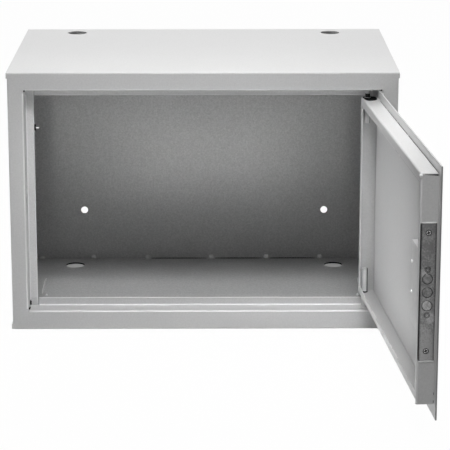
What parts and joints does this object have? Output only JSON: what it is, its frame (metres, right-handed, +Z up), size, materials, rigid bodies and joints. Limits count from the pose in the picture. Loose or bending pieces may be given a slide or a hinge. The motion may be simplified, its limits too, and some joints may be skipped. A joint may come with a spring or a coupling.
{
  "type": "telecom wall cabinet",
  "caption": "Welded sheet-steel wall cabinet with a flush side-hung door on pivot pins, a multi-bolt lever lock, round cable entries and wall holes.",
  "frame": {"origin": "middle of the cabinet's underside", "axes": "+X to the right, +Y to the back, +Z up; the door opening faces -Y"},
  "size_m": [0.6152, 0.9161, 0.41],
  "materials": {
    "paint": "light grey textured powder coat",
    "zinc": "dull zinc plate",
    "steel": "bright zinc-plated steel",
    "brass": "rolled brass sheet"
  },
  "bodies": {
    "cabinet": {"top_panel": "paint", "bottom_panel": "paint", "left_side_panel": "paint", "right_side_panel": "paint", "back_panel": "paint", "earth_stud": "steel", "earth_washers": "steel", "earth_nut": "steel", "pivot_spacer": "steel"},
    "door": {"door_skin": "paint", "door_top_rail": "paint", "door_bottom_rail": "paint", "door_hinge_stile": "paint", "door_lock_stile": "paint", "upper_pivot_pin": "paint", "lower_pivot_pin": "paint", "lock_faceplate": "zinc", "faceplate_screws": "steel", "case_screws": "steel", "lock_case": "zinc", "lock_cover": "zinc", "cover_rivets": "steel", "lever_post": "steel"},
    "lock_bolts": {"bolt_carriage": "steel", "bolt_stump": "steel", "upper_bolt": "steel", "middle_bolt": "steel", "lower_bolt": "steel"},
    "lock_levers": {"levers": "brass"}
  },
  "joints": [
    {"name": "door_swing", "type": "hinge", "parent": "cabinet", "child": "door", "pos_m": [0.254, -0.1875, 0.2], "axis": [0, 0, 1], "range_deg": [-94.6, 6]},
    {"name": "bolt_slide", "type": "slide", "parent": "door", "child": "lock_bolts", "axis": [0.0802, -0.9968, 0], "range_m": [0, 0.024]},
    {"name": "lever_lift", "type": "hinge", "parent": "door", "child": "lock_levers", "pos_m": [0.29952, -0.64482, 0.158], "axis": [-0.9968, -0.0802, 0], "range_deg": [0, 3.5]}
  ]
}
